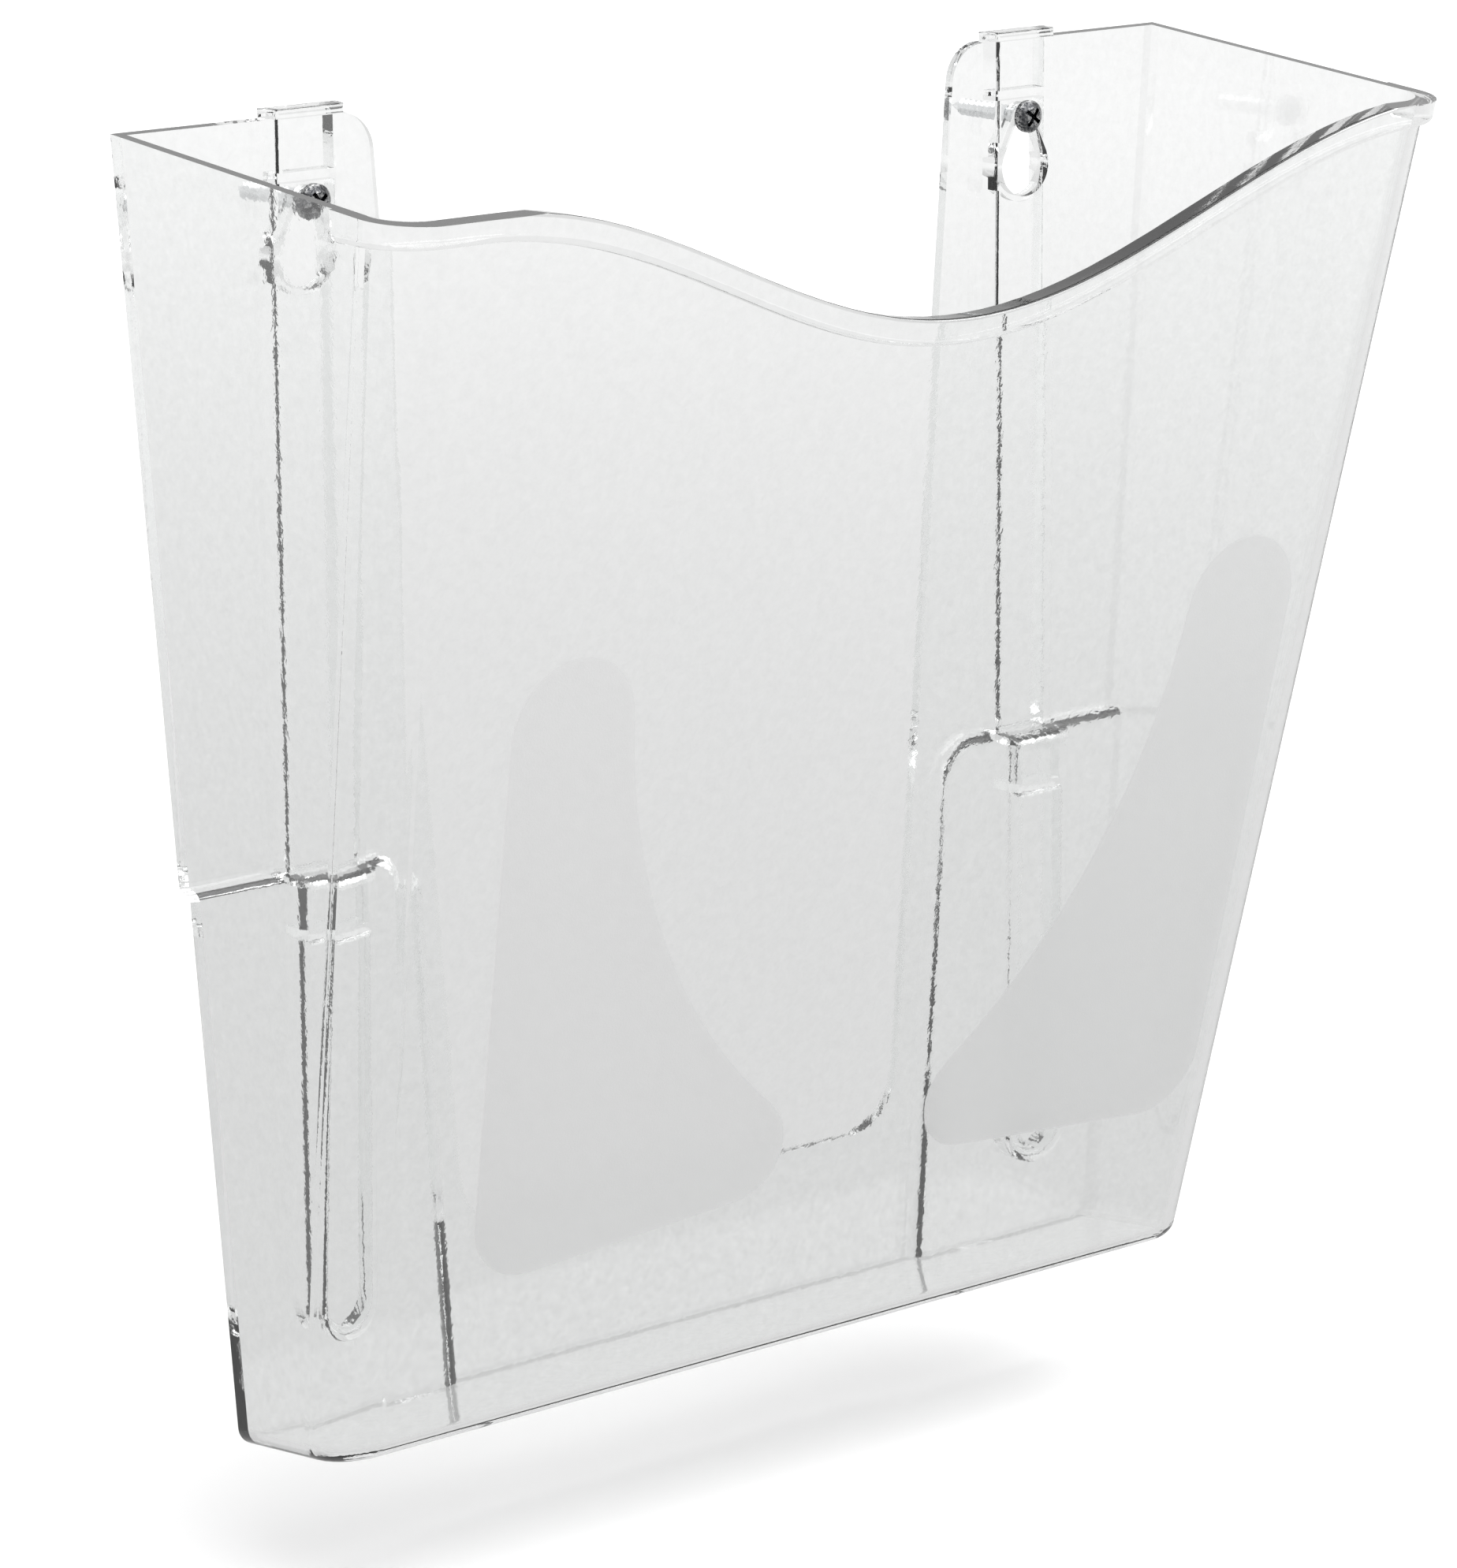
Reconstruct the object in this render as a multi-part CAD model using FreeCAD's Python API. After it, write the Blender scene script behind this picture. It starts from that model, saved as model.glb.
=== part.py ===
"""Wall-hung magazine rack: one clear moulded pocket that hangs by two keyholes on two screws.

Frame: X runs across the rack, +Y points into the wall, +Z is up. The origin is halfway
between the two screw axes, on the wall's face. All sizes are in millimetres.
"""

import FreeCAD, Part
import math
import os

from FreeCAD import Vector

# ---------------------------------------------------------------- pocket
WALL = 2.2                  # moulded wall
WIDTH_TOP = 259.0           # outside width at the top of the back
WIDTH_BOTTOM = 222.0        # outside width at the bottom of the back
DEPTH_TOP = 88.0            # wall to the front panel, at the top of the back
DEPTH_BOTTOM = 35.5         # wall to the front panel, at the bottom of the back
TOP_ABOVE_SCREWS = 15.5     # top of the back above the screw axes
HEIGHT = 257.5              # top of the back to its bottom edge
FLOOR_RISE = 5.0            # the floor climbs this much from back to front
SIDE_DROP = 6.6             # the side walls' top falls this much from the back to the front panel
FRONT_RADIUS = 11.0         # upright corners beside the front panel
FLOOR_RADIUS = 4.5          # round the bottom edges

# ---------------------------------------------------------------- wavy front edge
DIP_DEPTH = 31.5            # lowest point below the shoulders
DIP_HALF_WIDTH = 117.0      # middle of the dip to where it runs out
DIP_OFFSET = 7.0            # the dip's middle lies this much right of the rack's middle
LIP_OUT = 2.6               # the lip stands this much in front of the panel
LIP_HEIGHT = 5.4
LIP_SIDE = 0.8              # the lip stands this much outside the side walls
LIP_RETURN = 8.0            # how far the lip runs on along each side wall
LIP_ROUND = 1.6             # its lower outer edge
LIP_TOP_ROUND = 0.6

# ---------------------------------------------------------------- back
CUTOUT_TOP_HALF = 72.8      # half width of the gap between the legs, at their top
CUTOUT_BOTTOM_HALF = 56.0   # the same at the gap's bottom
CUTOUT_RISE = 32.5          # bottom of the back to the gap's bottom
CUTOUT_RADIUS = 13.0
LEG_RADIUS = 8.0            # top inner corner of each leg
LEDGE_DROP = 146.0          # top of the back to the underside of the ledge
STEP = 3.4                  # the lower outer zones stand this far off the wall
STEP_TOP_HALF = 69.0        # half width of the centre zone that still meets the wall, at the ledge
STEP_BOTTOM_HALF = 62.0     # the same at the floor
STEP_RADIUS = 8.0
RIM_RADIUS = 3.0            # where the back turns in to a lower zone
BEND_RADIUS = 2.4           # a lower zone's edge, inside the pocket

# ---------------------------------------------------------------- hollow ribs with the keyholes
SCREW_SPACING = 178.0
RIB_FRONT = 5.8             # front face of a rib from the wall
RIB_BASE_WIDTH = 17.6
RIB_FRONT_WIDTH = 15.6
RIB_WALL = 2.0
RIB_RISE = 2.0              # a rib stands this much higher than the back
RIB_ROUND = 1.0
WEB_DROP = 10.0             # top of the back to the web that closes the keyhole's chamber
KEYHOLE_RADIUS = 6.3        # the head passes through here
KEYHOLE_DROP = 10.2         # screw axis to the middle of the wide part
SLOT_CLEARANCE = 0.35       # round the neck, in the narrow end
SEAT_GAP = 0.05             # neck to the top of the narrow end, hanging
COLLAR_WIDTH = 1.2          # raised rim round the keyhole, behind the rib's face
COLLAR_DEPTH = 1.8

# ---------------------------------------------------------------- ribs below the ledge
LOWER_RIB_WIDTH = 16.8
LOWER_RIB_DEPTH = 6.4       # beyond the face of the lower zone
LOWER_RIB_RISE = 19.5       # bottom of the back to the rib's round end
LOWER_RIB_ROUND = 3.2
NOTCH_WIDTH = 10.0
NOTCH_DEPTH = 8.2           # below the ledge
NOTCH_FLOOR = 1.8           # web under the notch

# ---------------------------------------------------------------- screws
SHANK_RADIUS = 1.75         # over the thread, in the wall
NECK_RADIUS = 1.5           # plain shank, through the keyhole
HEAD_RADIUS = 3.3
HEAD_HEIGHT = 2.3
HEAD_GAP = 0.2              # under the head, in front of the rib
RECESS_SPAN = 4.2
RECESS_SLOT = 0.8
RECESS_DEPTH = 1.3
SHANK_IN_WALL = 18.0
THREAD_PITCH = 1.6
THREAD_DEPTH = 0.45
TIP_LENGTH = 3.0

# ---------------------------------------------------------------- worked out from the above
TOP = TOP_ABOVE_SCREWS
BOTTOM = TOP - HEIGHT
LEDGE = TOP - LEDGE_DROP
SCREW_X = SCREW_SPACING / 2
STEP_FACE = STEP + WALL
SPARE = 10.0                # cutting tools run past the material by this much
SIDES = {"left": -1, "right": 1}
LOWEST_EDGE = TOP - SIDE_DROP - DIP_DEPTH
LEAST_DEPTH = DEPTH_BOTTOM + (DEPTH_TOP - DEPTH_BOTTOM) * (LOWEST_EDGE - BOTTOM) / HEIGHT
FRONT_STARTS = LEAST_DEPTH - 1.5 * WALL     # wall to just behind the front panel's lowest edge


def along(z, at_top, at_bottom):
    """A size that changes evenly from the top of the back to its bottom, at height z."""
    return at_bottom + (at_top - at_bottom) * (z - BOTTOM) / HEIGHT


def half_width(z):
    return along(z, WIDTH_TOP, WIDTH_BOTTOM) / 2


def depth(z):
    return along(z, DEPTH_TOP, DEPTH_BOTTOM)


def box(x, y, z):
    """A box from three (low, high) pairs."""
    size = [pair[1] - pair[0] for pair in (x, y, z)]
    return Part.makeBox(*size, Vector(x[0], y[0], z[0]))


def profile_xz(points, y_from, y_to):
    """A prism through the closed outline of (x, z) points, between two values of y."""
    corners = [Vector(x, y_from, z) for x, z in points]
    face = Part.Face(Part.makePolygon(corners + corners[:1]))
    return face.extrude(Vector(0, y_to - y_from, 0))


def fillet_where(shape, radius, wanted):
    """Round every edge whose middle point passes the test."""
    edges = [edge for edge in shape.Edges if wanted(edge, edge.CenterOfMass)]
    return shape.makeFillet(radius, edges) if edges else shape


def runs_along_y(edge):
    low, high = edge.Vertexes[0].Point, edge.Vertexes[-1].Point
    return abs(high.x - low.x) + abs(high.z - low.z) < 1e-6 < abs(high.y - low.y)


def frustum(inset, forward, low, high):
    """The tapered body between two heights, moved inwards by inset and its front out by forward."""
    rings = []
    for z in (low, high):
        half, front = half_width(z) - inset, depth(z) - inset + forward
        rings.append([Vector(x, y, z) for x, y in
                      ((-half, -inset), (half, -inset), (half, -front), (-half, -front))])
    outlines = list(rings)
    for i in range(4):
        j = (i + 1) % 4
        outlines.append([rings[0][i], rings[0][j], rings[1][j], rings[1][i]])
    faces = [Part.Face(Part.makePolygon(points + points[:1])) for points in outlines]
    body = Part.makeSolid(Part.makeShell(faces))

    def upright(edge):
        return abs(edge.Vertexes[0].Point.z - edge.Vertexes[-1].Point.z) > 1

    return fillet_where(body, FRONT_RADIUS - inset, lambda e, m: upright(e) and m.y < -2 * SPARE)


def floor_z(y, raise_by=0.0):
    """Height of the sloping underside at y, or of a plane above it."""
    return BOTTOM + raise_by + FLOOR_RISE * -y / DEPTH_BOTTOM


def tapered_block(inset, raise_floor):
    """The pocket's body without its wave, moved inwards by inset, with round bottom edges."""
    low = BOTTOM - SPARE
    body = frustum(inset, 0, low, TOP + SPARE)
    under = [(SPARE, floor_z(SPARE, raise_floor)), (-DEPTH_TOP, floor_z(-DEPTH_TOP, raise_floor)),
             (-DEPTH_TOP, low - SPARE), (SPARE, low - SPARE)]
    corners = [Vector(-WIDTH_TOP, y, z) for y, z in under]
    wedge = Part.Face(Part.makePolygon(corners + corners[:1])).extrude(Vector(2 * WIDTH_TOP, 0, 0))
    body = body.cut(wedge)

    def on_floor(edge, middle):
        ends = [vertex.Point for vertex in edge.Vertexes]
        in_floor = all(abs(p.z - floor_z(p.y, raise_floor)) < 1e-3 for p in ends)
        return in_floor and middle.y < -inset - 1

    return fillet_where(body, FLOOR_RADIUS - inset, on_floor)


def step_tool(side, grow, y_front, bend):
    """The space behind a lower outer zone, or the block that keeps the pocket clear of it."""
    top, low = LEDGE + grow, BOTTOM - SPARE
    lean = (STEP_TOP_HALF - STEP_BOTTOM_HALF) / (LEDGE - BOTTOM)

    def inner_x(z):
        return STEP_TOP_HALF - grow - lean * (LEDGE - z)

    outer_x = WIDTH_TOP
    points = [(inner_x(top), top), (outer_x, top), (outer_x, low), (inner_x(low), low)]
    tool = profile_xz([(side * x, z) for x, z in points], SPARE, y_front)

    def inner_top(edge, middle):
        return runs_along_y(edge) and abs(middle.z - top) < 1e-6 and abs(middle.x) < outer_x - 1

    def front_rim(edge, middle):
        return abs(middle.y - y_front) < 1e-6 and abs(middle.x) < outer_x - 1 and middle.z > low + 1

    tool = fillet_where(tool, STEP_RADIUS + grow, inner_top)
    return fillet_where(tool, bend, front_rim) if bend else tool


def wave_z(x):
    """Height of the front panel's edge at x."""
    shoulder = TOP - SIDE_DROP
    reach = min(abs(x - DIP_OFFSET) / DIP_HALF_WIDTH, 1.0)
    return shoulder - DIP_DEPTH * (1 + math.cos(math.pi * reach)) / 2


def wave_band(below, above, behind=0.0):
    """A prism over the front panel that follows its wavy edge, from below it to above it."""
    stations = [WIDTH_TOP * (i / 48 - 0.5) * 1.1 for i in range(49)]
    front, back = -DEPTH_TOP - 3 * SPARE, -(FRONT_STARTS - behind)
    curves = []
    for offset in (-below, above):
        curve = Part.BSplineCurve()
        curve.interpolate([Vector(x, front, wave_z(x) + offset) for x in stations])
        curves.append(curve)
    low, high = curves
    ends = [Part.LineSegment(low.EndPoint, high.EndPoint), Part.LineSegment(high.StartPoint, low.StartPoint)]
    wire = Part.Wire([low.toShape(), ends[0].toShape(), high.toShape(), ends[1].toShape()])
    return Part.Face(wire).extrude(Vector(0, back - front, 0))


def side_top_tool():
    """Everything above the side walls' falling top edge."""
    far = -(DEPTH_TOP + 3 * SPARE)
    slope = SIDE_DROP / FRONT_STARTS
    high = TOP + 3 * SPARE
    points = [(SPARE, TOP), (0, TOP), (far, TOP + slope * far), (far, high), (SPARE, high)]
    corners = [Vector(-WIDTH_TOP, y, z) for y, z in points]
    return Part.Face(Part.makePolygon(corners + corners[:1])).extrude(Vector(2 * WIDTH_TOP, 0, 0))


def lip():
    """The rounded lip's block: a band along the wavy edge that stands out from the panel."""
    body = frustum(-LIP_SIDE, LIP_OUT - LIP_SIDE, TOP - DIP_DEPTH - 4 * SPARE, TOP + SPARE)
    band = body.common(wave_band(LIP_HEIGHT, 2 * SPARE, LIP_RETURN))

    def lower_edge(edge, middle):
        ends = [vertex.Point for vertex in edge.Vertexes]
        in_wave = all(abs(p.z - wave_z(p.x) + LIP_HEIGHT) < 0.05 for p in ends)
        return in_wave and not runs_along_y(edge)

    return fillet_where(band, LIP_ROUND, lower_edge)


def cutout_tool():
    """The open gap between the legs."""
    low = BOTTOM + CUTOUT_RISE
    lean = (CUTOUT_TOP_HALF - CUTOUT_BOTTOM_HALF) / (TOP - low)
    top_half = CUTOUT_TOP_HALF + lean * SPARE
    points = [(-top_half, TOP + SPARE), (top_half, TOP + SPARE),
              (CUTOUT_BOTTOM_HALF, low), (-CUTOUT_BOTTOM_HALF, low)]
    tool = profile_xz(points, SPARE, -WALL - 0.5)
    return fillet_where(tool, CUTOUT_RADIUS, lambda e, m: runs_along_y(e) and abs(m.z - low) < 1e-6)


def rib_section(side, shrink, y_back, y_front, z_low, z_high):
    """An upright prism with the rib's slightly tapered section."""
    x = side * SCREW_X
    base, front = RIB_BASE_WIDTH / 2 - shrink, RIB_FRONT_WIDTH / 2 - shrink
    corners = [Vector(x - base, y_back, z_low), Vector(x + base, y_back, z_low),
               Vector(x + front, y_front, z_low), Vector(x - front, y_front, z_low)]
    return Part.Face(Part.makePolygon(corners + corners[:1])).extrude(Vector(0, 0, z_high - z_low))


def upper_rib(side):
    """The solid outside of a rib on a leg."""
    rib = rib_section(side, 0, -WALL / 2, -RIB_FRONT, LEDGE, TOP + RIB_RISE)

    def outer_front(edge, middle):
        ends = [vertex.Point for vertex in edge.Vertexes]
        in_face = all(abs(p.y + RIB_FRONT) < 1e-6 for p in ends)
        return in_face and max(p.z for p in ends) > TOP

    return fillet_where(rib, RIB_ROUND, outer_front)


def rib_hollows(side):
    """The two hollows behind a rib, above and below the web."""
    front = -(RIB_FRONT - RIB_WALL)
    web_top = TOP - WEB_DROP
    above = rib_section(side, RIB_WALL, SPARE, front, web_top, TOP + RIB_RISE - RIB_WALL)
    below = rib_section(side, RIB_WALL, SPARE, front, LEDGE + WALL, web_top - RIB_WALL)
    return above.fuse(below)


def keyhole(side, grow, y_from, y_to):
    """The pear-shaped keyhole, or the same outline made larger by grow."""
    x = side * SCREW_X
    small = NECK_RADIUS + SLOT_CLEARANCE + grow
    large = KEYHOLE_RADIUS + grow
    top = Vector(x, y_from, SEAT_GAP - SLOT_CLEARANCE)
    low = Vector(x, y_from, -KEYHOLE_DROP)
    angle = math.asin((large - small) / (top.z - low.z))
    out = Vector(math.cos(angle), 0, math.sin(angle))
    mirrored = Vector(-out.x, 0, out.z)
    arc_top = Part.Arc(top + mirrored * small, top + Vector(0, 0, small), top + out * small)
    arc_low = Part.Arc(low + out * large, low - Vector(0, 0, large), low + mirrored * large)
    edges = [arc_top.toShape(), Part.LineSegment(arc_top.EndPoint, arc_low.StartPoint).toShape(),
             arc_low.toShape(), Part.LineSegment(arc_low.EndPoint, arc_top.StartPoint).toShape()]
    return Part.Face(Part.Wire(edges)).extrude(Vector(0, y_to - y_from, 0))


def collar(side):
    """The raised rim round the keyhole, inside the rib."""
    plate_back = -(RIB_FRONT - RIB_WALL)
    rim = keyhole(side, COLLAR_WIDTH, plate_back - RIB_WALL / 2, plate_back + COLLAR_DEPTH)
    inside = rib_section(side, RIB_WALL / 2, 0, -RIB_FRONT, LEDGE, TOP - WEB_DROP - RIB_WALL / 2)
    return rim.common(inside)


def lower_rib(side, shrink, y_back, y_front, top):
    """A rib with a round lower end, on a lower zone, or the hollow inside it."""
    half = LOWER_RIB_WIDTH / 2 - shrink
    centre_z = BOTTOM + LOWER_RIB_RISE + LOWER_RIB_WIDTH / 2
    x = side * SCREW_X
    arc = Part.Arc(Vector(x - half, y_back, centre_z), Vector(x, y_back, centre_z - half),
                   Vector(x + half, y_back, centre_z))
    sides = Part.makePolygon([arc.EndPoint, Vector(x + half, y_back, top),
                              Vector(x - half, y_back, top), arc.StartPoint])
    body = Part.Face(Part.Wire([arc.toShape()] + sides.Edges)).extrude(Vector(0, y_front - y_back, 0))

    def front_outline(edge, middle):
        ends = [vertex.Point for vertex in edge.Vertexes]
        return all(abs(p.y - y_front) < 1e-6 for p in ends)

    return fillet_where(body, LOWER_RIB_ROUND - min(shrink, LOWER_RIB_ROUND - 0.4), front_outline)


def notch(side):
    """The slot behind the top of the lower rib, open at the back."""
    x = side * SCREW_X
    front = -(STEP_FACE + LOWER_RIB_DEPTH - WALL)
    return box((x - NOTCH_WIDTH / 2, x + NOTCH_WIDTH / 2), (front, SPARE - STEP),
               (LEDGE - NOTCH_DEPTH, LEDGE))


def stepped_block(inset):
    """The tapered body with a step over each lower outer zone, all its bends rounded."""
    body = tapered_block(inset, inset)
    zone_y = -(STEP + inset)
    for side in SIDES.values():
        body = body.cut(step_tool(side, inset, zone_y, BEND_RADIUS if inset else 0))

    def rim(edge, middle):
        ends = [vertex.Point for vertex in edge.Vertexes]
        in_back = all(abs(p.y + inset) < 1e-3 for p in ends)
        beside = SPARE < abs(middle.x) < half_width(middle.z) - inset - 1
        return in_back and beside and middle.z < LEDGE + inset + 1

    return fillet_where(body, RIM_RADIUS - inset, rim)


def pocket_shell():
    """Walls, floor and back with the lower zones stepped forward."""
    outer = stepped_block(0)
    inner = stepped_block(WALL)
    shell = outer.cut(inner).cut(cutout_tool()).fuse(lip().cut(inner))
    shell = shell.cut(wave_band(0, 5 * SPARE)).cut(side_top_tool())

    def leg_corner(edge, middle):
        near_top = abs(middle.z - TOP) < WALL / 2
        return near_top and abs(abs(middle.x) - CUTOUT_TOP_HALF) < 0.1 and edge.Length < 2 * WALL

    def lip_top(edge, middle):
        ends = [vertex.Point for vertex in edge.Vertexes]
        in_wave = all(abs(p.z - wave_z(p.x)) < 0.05 for p in ends)
        return in_wave and edge.Length > FRONT_RADIUS / 2 and middle.y < -depth(middle.z) - LIP_OUT / 4

    shell = fillet_where(shell, LEG_RADIUS, leg_corner)
    return fillet_where(shell, LIP_TOP_ROUND, lip_top)


def rack():
    """The whole moulding."""
    body = pocket_shell()
    face_y = -STEP_FACE
    for side in SIDES.values():
        body = body.fuse(upper_rib(side))
        body = body.fuse(lower_rib(side, 0, -STEP, face_y - LOWER_RIB_DEPTH, LEDGE + WALL))
    for side in SIDES.values():
        body = body.cut(rib_hollows(side))
        body = body.cut(lower_rib(side, WALL, SPARE - STEP, face_y - LOWER_RIB_DEPTH + WALL,
                                  LEDGE - NOTCH_DEPTH - NOTCH_FLOOR))
        body = body.fuse(collar(side))
        body = body.cut(keyhole(side, 0, -RIB_FRONT - SPARE, 0))
        body = body.cut(notch(side))
    return body.removeSplitter()


def screw(side):
    """A pan-head screw with a cross recess and ridges for its thread, pointing into the wall."""
    under_head = -(RIB_FRONT + HEAD_GAP)
    front = under_head - HEAD_HEIGHT
    root = SHANK_RADIUS - THREAD_DEPTH
    tip = SHANK_IN_WALL
    outline = [(0, front), (HEAD_RADIUS * 0.55, front), (HEAD_RADIUS, under_head - HEAD_HEIGHT * 0.45),
               (HEAD_RADIUS, under_head), (NECK_RADIUS, under_head), (NECK_RADIUS, 0),
               (SHANK_RADIUS, 0), (SHANK_RADIUS, THREAD_PITCH)]
    turns = int((tip - TIP_LENGTH - THREAD_PITCH) / THREAD_PITCH)
    for turn in range(turns):
        y = THREAD_PITCH * (turn + 1)
        outline += [(root, y + THREAD_PITCH * 0.3), (root, y + THREAD_PITCH * 0.6)]
        outline += [(SHANK_RADIUS, y + THREAD_PITCH)]
    outline += [(0, tip)]
    points = [Vector(r, y, 0) for r, y in outline]
    body = Part.Face(Part.makePolygon(points + points[:1])).revolve(Vector(), Vector(0, 1, 0), 360)
    half, slot = RECESS_SPAN / 2, RECESS_SLOT / 2
    bars = [box((-half, half), (front - 1, front + RECESS_DEPTH), (-slot, slot)),
            box((-slot, slot), (front - 1, front + RECESS_DEPTH), (-half, half))]
    recess = bars[0].fuse(bars[1])
    recess.rotate(Vector(), Vector(0, 1, 0), 38 * side)
    body = body.cut(recess)
    body.translate(Vector(side * SCREW_X, 0, 0))
    return body


def main():
    os.makedirs("parts", exist_ok=True)
    nodes = {"rack_moulding": rack()}
    nodes.update({f"{name}_screw": screw(side) for name, side in SIDES.items()})
    for name, shape in nodes.items():
        assert shape.isValid() and len(shape.Solids) == 1, name
        size = shape.optimalBoundingBox()
        print(name, round(shape.Volume, 1), [round(v, 2) for v in
              (size.XMin, size.XMax, size.YMin, size.YMax, size.ZMin, size.ZMax)])
        shape.exportStep(f"parts/{name}.step")


main()
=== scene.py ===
"""Dresses the wall-hung magazine rack: clear moulded plastic with satin patches, on two dark screws."""

import logging
import math
from dataclasses import dataclass, field
from enum import Enum
from typing import Any, Union

import bmesh
import bpy
from mathutils import Matrix

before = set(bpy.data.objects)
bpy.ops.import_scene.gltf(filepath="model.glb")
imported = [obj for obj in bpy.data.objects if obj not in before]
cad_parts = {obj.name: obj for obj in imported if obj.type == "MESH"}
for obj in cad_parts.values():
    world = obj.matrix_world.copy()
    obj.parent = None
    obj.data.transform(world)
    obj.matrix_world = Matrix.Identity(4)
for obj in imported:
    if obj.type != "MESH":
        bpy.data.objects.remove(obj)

MM = 0.001
log = logging.getLogger("magazine_rack")


class Side(Enum):
    """Which of the rack's two hanging points, as seen from the front."""

    LEFT = -1
    RIGHT = 1

    @property
    def node(self) -> str:
        """The name of this side's screw in the frame."""
        return f"{self.name.lower()}_screw"


class Seen(Enum):
    """Which rays find a piece of studio equipment."""

    BY_CAMERA = "camera"
    BY_PLASTIC = "plastic"


Number = Union["Reading", float]


@dataclass(frozen=True)
class Reading:
    """A number in a node tree. Python's operators on it add Math nodes."""

    bench: "Bench"
    socket: bpy.types.NodeSocket

    def _maths(self, operation: str, *values: Number) -> "Reading":
        """Adds one Math node that works on the given values."""
        return self.bench.add("ShaderNodeMath", {"operation": operation}, dict(enumerate(values)))

    def __add__(self, other: Number) -> "Reading":
        """The sum."""
        return self._maths("ADD", self, other)

    __radd__ = __add__

    def __sub__(self, other: Number) -> "Reading":
        """The difference."""
        return self._maths("SUBTRACT", self, other)

    def __rsub__(self, other: Number) -> "Reading":
        """The difference from a plain number."""
        return self._maths("SUBTRACT", other, self)

    def __mul__(self, other: Number) -> "Reading":
        """The product."""
        return self._maths("MULTIPLY", self, other)

    __rmul__ = __mul__

    def __neg__(self) -> "Reading":
        """The negative."""
        return self * -1.0

    def __abs__(self) -> "Reading":
        """The size without its sign."""
        return self._maths("ABSOLUTE", self)

    def at_most(self, other: Number) -> "Reading":
        """The smaller of the two."""
        return self._maths("MINIMUM", self, other)

    def at_least(self, other: Number) -> "Reading":
        """The larger of the two."""
        return self._maths("MAXIMUM", self, other)

    def root(self) -> "Reading":
        """The square root."""
        return self._maths("SQRT", self)

    def ramp(self, start: float, end: float) -> "Reading":
        """Runs smoothly from 0 where this is start to 1 where it is end.

        Args:
            start: The reading that gives 0.
            end: The reading that gives 1.

        Returns:
            The ramp's value, held between 0 and 1.
        """
        settings = {"interpolation_type": "SMOOTHSTEP"}
        inputs = {"Value": self, "From Min": start, "From Max": end}
        return self.bench.add("ShaderNodeMapRange", settings, inputs)


class Bench:
    """A material's node tree, and the one way in which nodes are added to it."""

    def __init__(self, tree: bpy.types.NodeTree) -> None:
        """Empties the tree."""
        self.tree = tree
        tree.nodes.clear()

    def add(self, kind: str, settings: dict[str, Any] | None = None, inputs: dict[Any, Any] | None = None,
            output: str | int = 0) -> Reading:
        """Adds a node of any type.

        Args:
            kind: The node's type name.
            settings: Its own properties, set before its sockets.
            inputs: Values or readings by socket name or number.
            output: The socket that is handed back.

        Returns:
            The output as a reading.
        """
        node = self.tree.nodes.new(kind)
        for name, value in (settings or {}).items():
            setattr(node, name, value)
        for key, value in (inputs or {}).items():
            if isinstance(value, Reading):
                self.tree.links.new(value.socket, node.inputs[key])
            else:
                node.inputs[key].default_value = value
        return Reading(self, node.outputs[output] if len(node.outputs) else None)

    def place(self) -> tuple[Reading, Reading, Reading, Reading]:
        """Where a point is on its piece.

        Returns:
            The position as one vector, then its x, y and z in metres.
        """
        position = self.add("ShaderNodeTexCoord", output="Object")
        split = self.add("ShaderNodeSeparateXYZ", inputs={0: position})
        axes = [Reading(self, split.socket.node.outputs[axis]) for axis in "XYZ"]
        return position, *axes

    def noise(self, position: Reading, size: float, detail: float = 2.0, roughness: float = 0.5,
              distortion: float = 0.0) -> Reading:
        """Soft random grain.

        Args:
            position: Where the grain is read.
            size: Width of one grain in metres.
            detail: How many finer layers it has.
            roughness: How strong the finer layers are.
            distortion: How far the grain is pulled about.

        Returns:
            A reading round 0.5.
        """
        inputs = {"Vector": position, "Scale": 1.0 / size, "Detail": detail, "Roughness": roughness,
                  "Distortion": distortion}
        return self.add("ShaderNodeTexNoise", {"noise_dimensions": "3D"}, inputs)

    def grey(self, level: Reading) -> Reading:
        """The level as a neutral colour."""
        return self.add("ShaderNodeCombineColor", inputs={"Red": level, "Green": level, "Blue": level})

    def blend(self, factor: Reading, first: Any, second: Any) -> Reading:
        """Mixes two colours by a factor."""
        inputs = {"Factor": factor, 6: first, 7: second}
        return self.add("ShaderNodeMix", {"data_type": "RGBA"}, inputs, output=2)

    def bump(self, height: Reading, depth: float, under: Reading | None = None) -> Reading:
        """A surface relief of that depth in metres, on top of another if one is given."""
        inputs = {"Height": height, "Distance": depth, "Strength": 1.0}
        if under is not None:
            inputs["Normal"] = under
        return self.add("ShaderNodeBump", {}, inputs)

    def finish(self, shader: Reading) -> None:
        """Links the shader to the material's output."""
        self.add("ShaderNodeOutputMaterial", inputs={"Surface": shader})


def new_material(name: str) -> tuple[bpy.types.Material, Bench]:
    """Makes an empty material and the bench to build it on."""
    material = bpy.data.materials.new(name)
    material.use_nodes = True
    return material, Bench(material.node_tree)


def dress(piece: bpy.types.Object, material: bpy.types.Material) -> None:
    """Puts one material all over a piece."""
    piece.data.materials.clear()
    piece.data.materials.append(material)


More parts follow.
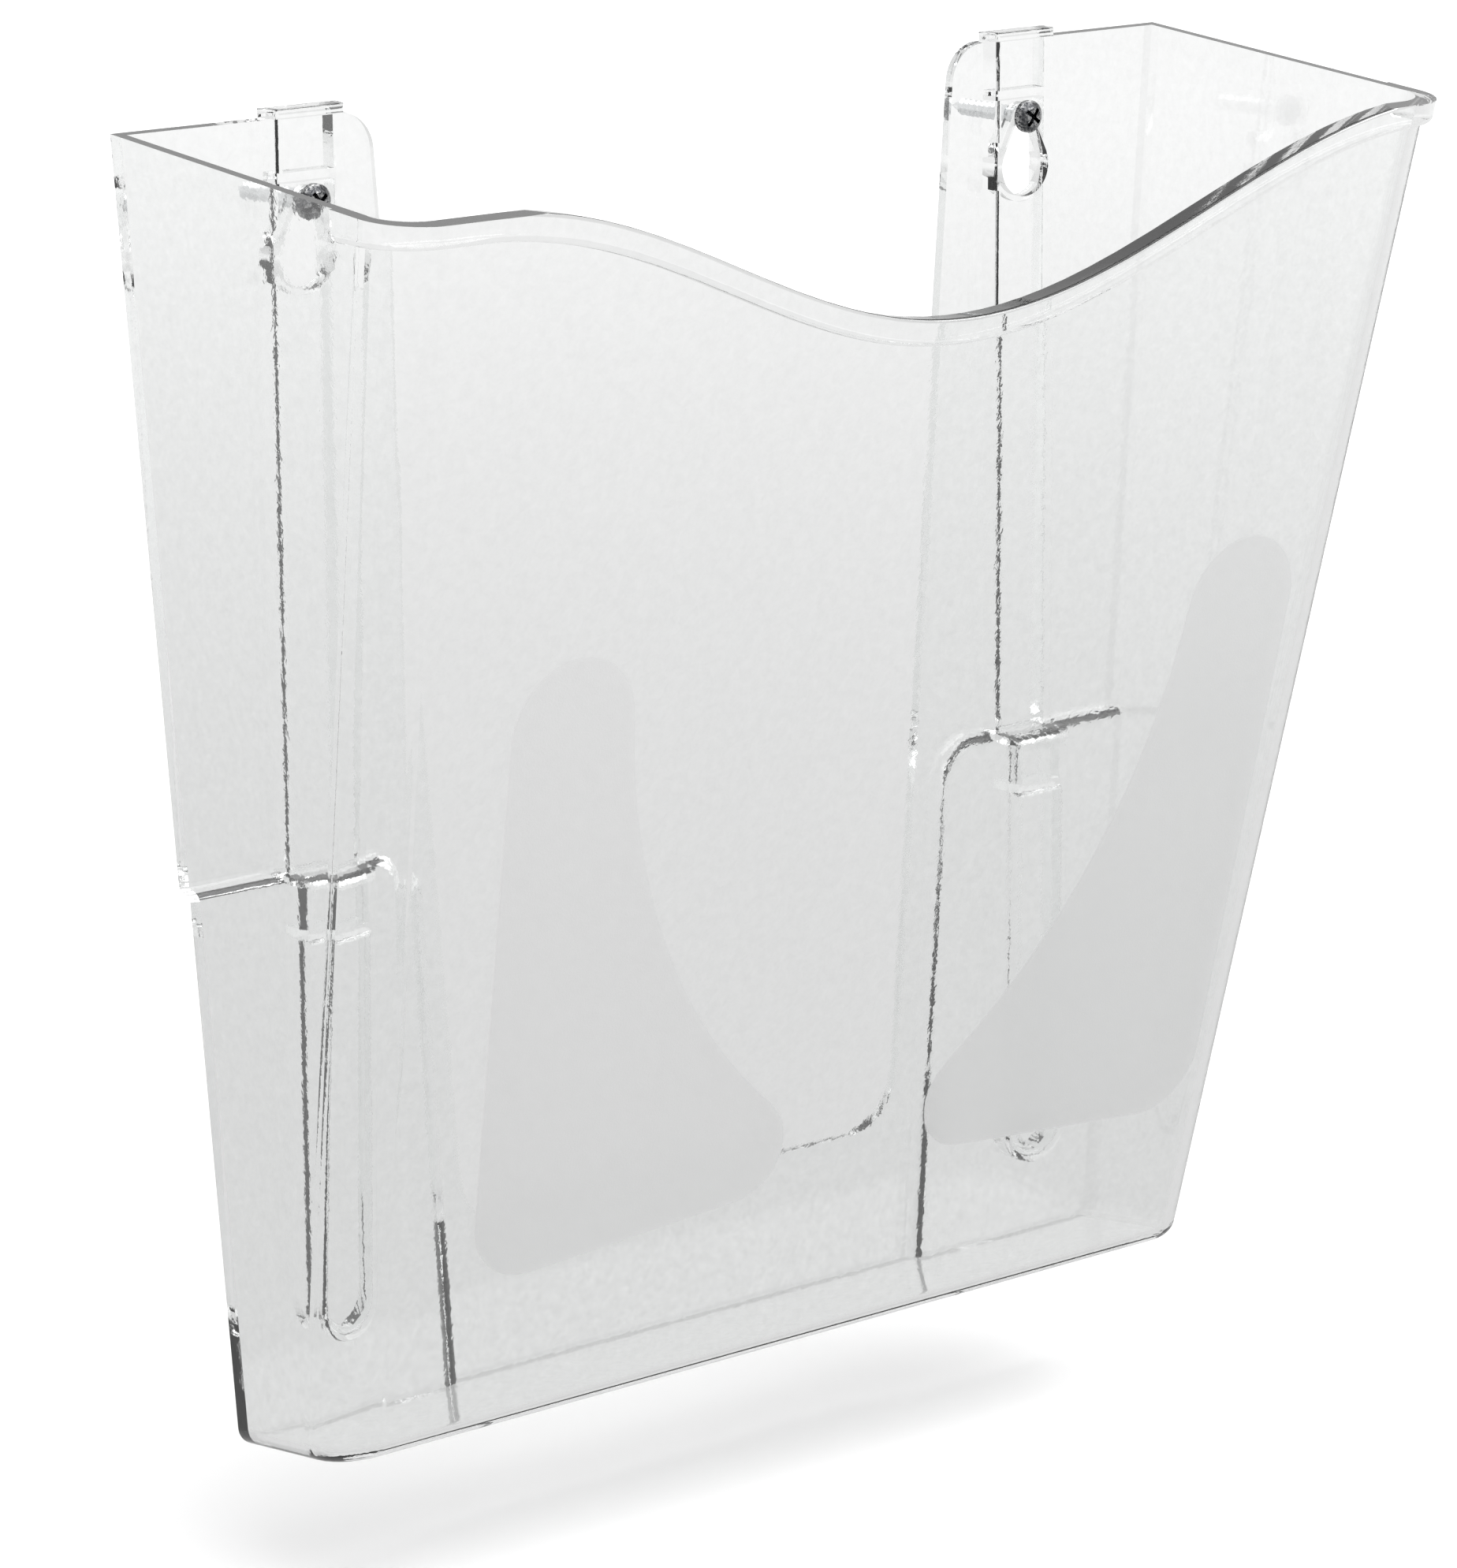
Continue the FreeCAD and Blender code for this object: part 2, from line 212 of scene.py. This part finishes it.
@dataclass(frozen=True)
class SatinPatch:
    """The outline of the satin patch on the front panel: three round corners and a hollow inner side.

    Places are (across, up) in metres, across from the patches' line of symmetry, up from the screws.
    """

    symmetry_x: float = 9.0 * MM
    top: tuple[float, float, float] = (84.5 * MM, -92.5 * MM, 14.3 * MM)
    heel: tuple[float, float, float] = (79.8 * MM, -190.0 * MM, 14.3 * MM)
    toe: tuple[float, float, float] = (29.5 * MM, -189.5 * MM, 11.0 * MM)
    hollow: tuple[float, float, float] = (-61.8 * MM, -78.5 * MM, 132.5 * MM)
    edge: float = 0.35 * MM

    @staticmethod
    def _tangent(first: tuple[float, float, float], second: tuple[float, float, float],
                 turn: int) -> tuple[float, float, float]:
        """The straight side that touches two round corners.

        Args:
            first: One corner's centre and radius.
            second: The other's.
            turn: 1 or -1, for the side of the line from first to second.

        Returns:
            The side's outward direction (across, up) and its distance from the origin.
        """
        across, up = second[0] - first[0], second[1] - first[1]
        gap = math.hypot(across, up)
        lean = math.asin((first[2] - second[2]) / gap)
        angle = math.atan2(up, across) + turn * (math.pi / 2 - lean)
        out = (math.cos(angle), math.sin(angle))
        return out[0], out[1], out[0] * first[0] + out[1] * first[1] + first[2]

    def distance(self, x: Reading, z: Reading) -> Reading:
        """How far a point is outside the outline, in metres; inside it is negative.

        Args:
            x: Across the rack.
            z: Up.

        Returns:
            The distance.
        """
        u = abs(x - self.symmetry_x)

        def past(line: tuple[float, float, float]) -> Reading:
            """The distance beyond a straight side."""
            return u * line[0] + z * line[1] - line[2]

        def from_disc(disc: tuple[float, float, float]) -> Reading:
            """The distance outside a round corner."""
            across, up = u - disc[0], z - disc[1]
            return (across * across + up * up).root() - disc[2]

        outer = past(self._tangent(self.top, self.heel, 1)) + self.heel[2]
        under = past(self._tangent(self.heel, self.toe, 1)) + self.heel[2]
        corner = outer.at_least(0.0) * outer.at_least(0.0) + under.at_least(0.0) * under.at_least(0.0)
        heel = corner.root() + outer.at_least(under).at_most(0.0) - self.heel[2]
        hollow = -from_disc(self.hollow)
        cap = z - self.top[1]
        chord = self._chord()
        panel = heel.at_least(hollow).at_least(cap).at_least(past(chord))
        return panel.at_most(from_disc(self.top)).at_most(from_disc(self.toe))

    def _chord(self) -> tuple[float, float, float]:
        """The line across the toe between the points where its neighbours touch it."""
        across, up, _ = self._tangent(self.heel, self.toe, 1)
        low = (self.toe[0] + across * self.toe[2], self.toe[1] + up * self.toe[2])
        reach = math.hypot(self.hollow[0] - self.toe[0], self.hollow[1] - self.toe[1])
        high = (self.toe[0] + (self.hollow[0] - self.toe[0]) / reach * self.toe[2],
                self.toe[1] + (self.hollow[1] - self.toe[1]) / reach * self.toe[2])
        length = math.hypot(high[0] - low[0], high[1] - low[1])
        out = ((low[1] - high[1]) / length, (high[0] - low[0]) / length)
        if out[0] > 0:
            out = (-out[0], -out[1])
        return out[0], out[1], out[0] * low[0] + out[1] * low[1]


@dataclass(frozen=True)
class ClearStyrene:
    """Crystal-clear plastic with a fine pebble, and a satin finish inside the patches; the pebble's light
    and shade and a sheen on the patches are painted into its colour.
    """

    tint: tuple[float, float, float] = (0.965, 0.97, 0.968)
    index: float = 1.59
    gloss: float = 0.02
    satin: float = 0.35
    pebble_size: float = 2.1 * MM
    pebble_depth: float = 0.008 * MM
    # painted light and shade of the pebble relief: the base colour goes lighter and darker with the
    # pebble
    pebble_painted_shade: float = 0.16
    sand_size: float = 0.45 * MM
    sand_depth: float = 0.02 * MM
    # painted sheen: the satin patches' colour is lifted to stand for the key light that their satin
    # scatters
    patch_painted_sheen: float = 0.035
    haze_size: float = 60.0 * MM
    haze_gloss: float = 0.02
    patch: SatinPatch = field(default_factory=SatinPatch)
    front_top: float = -88.0 * MM
    front_bottom: float = -35.5 * MM
    top_z: float = 15.5 * MM
    height: float = 257.5 * MM
    wall: float = 2.2 * MM

    def front_skin(self, y: Reading, z: Reading) -> Reading:
        """1 on the front panel's outer face and 0 elsewhere."""
        slope = (self.front_top - self.front_bottom) / self.height
        outside = self.front_bottom + slope * (self.height - self.top_z)
        return (y - (z * slope + outside)).ramp(0.7 * self.wall, 0.4 * self.wall)

    def material(self) -> bpy.types.Material:
        """Builds the material.

        Returns:
            The clear plastic.
        """
        material, bench = new_material("clear_styrene")
        position, x, y, z = bench.place()
        patch = self.patch.distance(x, z).ramp(self.patch.edge, -self.patch.edge) * self.front_skin(y, z)
        pebble = bench.noise(position, self.pebble_size, 2.0, 0.55, 0.6)
        sand = bench.noise(position, self.sand_size, 1.0)
        haze = bench.noise(position, self.haze_size, 3.0)
        relief = bench.bump(pebble * (1.0 - patch), self.pebble_depth)
        relief = bench.bump(sand * patch, self.sand_depth, relief)
        # painted light: the colour follows the pebble's painted light and shade, and is lifted on the
        # patches as a painted sheen
        painted_light_scale = (pebble - 0.5) * (1.0 - patch) * self.pebble_painted_shade + 1.0 + patch * self.patch_painted_sheen
        colour = bench.add("ShaderNodeVectorMath", {"operation": "SCALE"}, {0: self.tint, "Scale": painted_light_scale})
        roughness = patch * (self.satin - self.gloss) + self.gloss + (haze - 0.5) * self.haze_gloss
        shader = bench.add("ShaderNodeBsdfPrincipled", {}, {
            "Base Color": colour, "Roughness": roughness, "IOR": self.index, "Transmission Weight": 1.0,
            "Normal": relief})
        bench.finish(shader)
        return material


@dataclass(frozen=True)
class BlackZinc:
    """Screw steel: a black-painted head, scuffed by the driver, and a bright zinc shank."""

    colour: tuple[float, float, float, float] = (0.045, 0.047, 0.052, 1.0)
    worn: tuple[float, float, float, float] = (0.42, 0.42, 0.42, 1.0)
    zinc: tuple[float, float, float, float] = (0.86, 0.87, 0.88, 1.0)
    painted_to: float = -5.9 * MM

    def material(self) -> bpy.types.Material:
        """Builds the material.

        Returns:
            The screw's finish.
        """
        material, bench = new_material("black_zinc")
        position, _, y, _ = bench.place()
        bare = y.ramp(self.painted_to, self.painted_to + 0.3 * MM)
        scuffs = bench.noise(position, 0.5 * MM, 3.0, 0.6)
        edges = bench.add("ShaderNodeNewGeometry", output="Pointiness")
        wear = edges.ramp(0.51, 0.58) * scuffs.ramp(0.4, 0.6)
        shader = bench.add("ShaderNodeBsdfPrincipled", {}, {
            "Base Color": bench.blend(bare, bench.blend(wear, self.colour, self.worn), self.zinc),
            "Metallic": 1.0,
            "Roughness": scuffs * 0.2 + 0.16, "Normal": bench.bump(scuffs, 0.01 * MM)})
        bench.finish(shader)
        return material


@dataclass
class Moulding:
    """The clear rack itself, as the frame gives it."""

    finish: ClearStyrene = field(default_factory=ClearStyrene)

    def build(self) -> bpy.types.Object:
        """Dresses the moulding."""
        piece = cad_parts["rack_moulding"]
        dress(piece, self.finish.material())
        return piece


@dataclass
class WallScrew:
    """One of the two screws that the rack hangs on."""

    side: Side
    finish: BlackZinc = field(default_factory=BlackZinc)

    def build(self) -> bpy.types.Object:
        """Dresses the screw."""
        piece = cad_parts[self.side.node]
        dress(piece, self.finish.material())
        return piece


@dataclass
class Studio:
    """A pale floor, a glowing card of painted shade that the plastic sees in its place, soft lights and
    the camera.
    """

    floor_z: float = -0.27
    floor_reach: float = 14.0
    camera_place: tuple[float, float, float] = (-0.7155, -0.9006, 0.1618)
    azimuth: float = -39.03
    elevation: float = 14.12
    roll: float = -0.29
    lens: float = 135.31
    card_below: float = 0.002
    # painted shade: how dim the card glows under the rack, how much lighter it gets, and how far out that
    # takes
    card_painted_shade_level: float = 0.72
    card_painted_shade_lift: float = 0.26
    card_painted_shade_reach: float = 2.2
    key_energy: float = 2.4
    key_angle: float = 75.0
    room_level: float = 0.86

    def _sheet(self, name: str, z: float) -> bpy.types.Object:
        """A large level sheet."""
        bm = bmesh.new()
        bmesh.ops.create_grid(bm, x_segments=1, y_segments=1, size=self.floor_reach,
                              matrix=Matrix.Translation((0.0, 0.0, z)))
        mesh = bpy.data.meshes.new(name)
        bm.to_mesh(mesh)
        bm.free()
        sheet = bpy.data.objects.new(name, mesh)
        bpy.context.scene.collection.objects.link(sheet)
        return sheet

    def _show_to(self, sheet: bpy.types.Object, seen: Seen) -> None:
        """Limits a sheet to the rays it is meant for."""
        by_camera = seen is Seen.BY_CAMERA
        sheet.visible_camera = by_camera
        sheet.visible_diffuse = by_camera
        sheet.visible_shadow = by_camera
        sheet.visible_glossy = not by_camera
        sheet.visible_transmission = not by_camera

    def floor(self) -> None:
        """The plain pale floor that the camera sees."""
        sheet = self._sheet("floor", self.floor_z)
        self._show_to(sheet, Seen.BY_CAMERA)
        material, bench = new_material("floor_white")
        shader = bench.add("ShaderNodeBsdfPrincipled", {}, {
            "Base Color": (0.93, 0.93, 0.93, 1.0), "Roughness": 1.0, "Specular IOR Level": 0.0})
        bench.finish(shader)
        dress(sheet, material)

    def card(self) -> None:
        """The card that the plastic and the screws see in place of the floor: a glowing sheet of painted
        shade, darkest under the rack, as the rack's shadow on the floor would be, and lighter further
        out.
        """
        sheet = self._sheet("painted_shade_card", self.floor_z - self.card_below)
        self._show_to(sheet, Seen.BY_PLASTIC)
        material, bench = new_material("painted_shade_card_glow")
        _, x, y, _ = bench.place()
        away = (x * x + y * y).root()
        # painted shadow: the glow is darkest under the rack and lighter further away
        level = away.ramp(0.0, self.card_painted_shade_reach) * self.card_painted_shade_lift + self.card_painted_shade_level
        shader = bench.add("ShaderNodeEmission", {}, {"Color": bench.grey(level)})
        bench.finish(shader)
        dress(sheet, material)

    def lights(self) -> None:
        """A wide soft key from above, and a grey room."""
        sun = bpy.data.lights.new("soft_key", "SUN")
        sun.energy = self.key_energy
        sun.angle = math.radians(self.key_angle)
        lamp = bpy.data.objects.new("soft_key", sun)
        lamp.rotation_euler = (math.radians(28.0), math.radians(12.0), 0.0)
        bpy.context.scene.collection.objects.link(lamp)
        world = bpy.data.worlds.new("room")
        world.use_nodes = True
        bench = Bench(world.node_tree)
        inputs = {"Color": (1.0, 1.0, 1.0, 1.0), "Strength": self.room_level}
        back = bench.add("ShaderNodeBackground", {}, inputs)
        bench.add("ShaderNodeOutputWorld", {}, {"Surface": back})
        bpy.context.scene.world = world

    def camera(self) -> None:
        """The camera, from the left and a little above."""
        data = bpy.data.cameras.new("camera")
        data.lens = self.lens
        data.clip_start = 0.01
        data.clip_end = 60.0
        camera = bpy.data.objects.new("camera", data)
        turn = Matrix.Rotation(math.radians(self.azimuth), 4, "Z")
        tilt = Matrix.Rotation(math.radians(90.0 - self.elevation), 4, "X")
        roll = Matrix.Rotation(math.radians(self.roll), 4, "Z")
        camera.matrix_world = Matrix.Translation(self.camera_place) @ turn @ tilt @ roll
        bpy.context.scene.collection.objects.link(camera)
        bpy.context.scene.camera = camera

    def build(self) -> None:
        """Sets everything up, with neutral colours and room for light to cross many walls."""
        self.floor()
        self.card()
        self.lights()
        self.camera()
        scene = bpy.context.scene
        scene.view_settings.view_transform = "Standard"
        scene.cycles.max_bounces = 24
        scene.cycles.transmission_bounces = 24
        scene.cycles.glossy_bounces = 12


def main() -> None:
    """Builds the rack, its screws and the studio in order."""
    logging.basicConfig(level=logging.INFO, format="%(name)s: %(message)s")
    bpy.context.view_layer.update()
    Studio().build()
    log.info("studio set up")
    for part in (Moulding(), WallScrew(Side.LEFT), WallScrew(Side.RIGHT)):
        piece = part.build()
        log.info("%s dressed", piece.name)


if __name__ == "__main__":
    main()
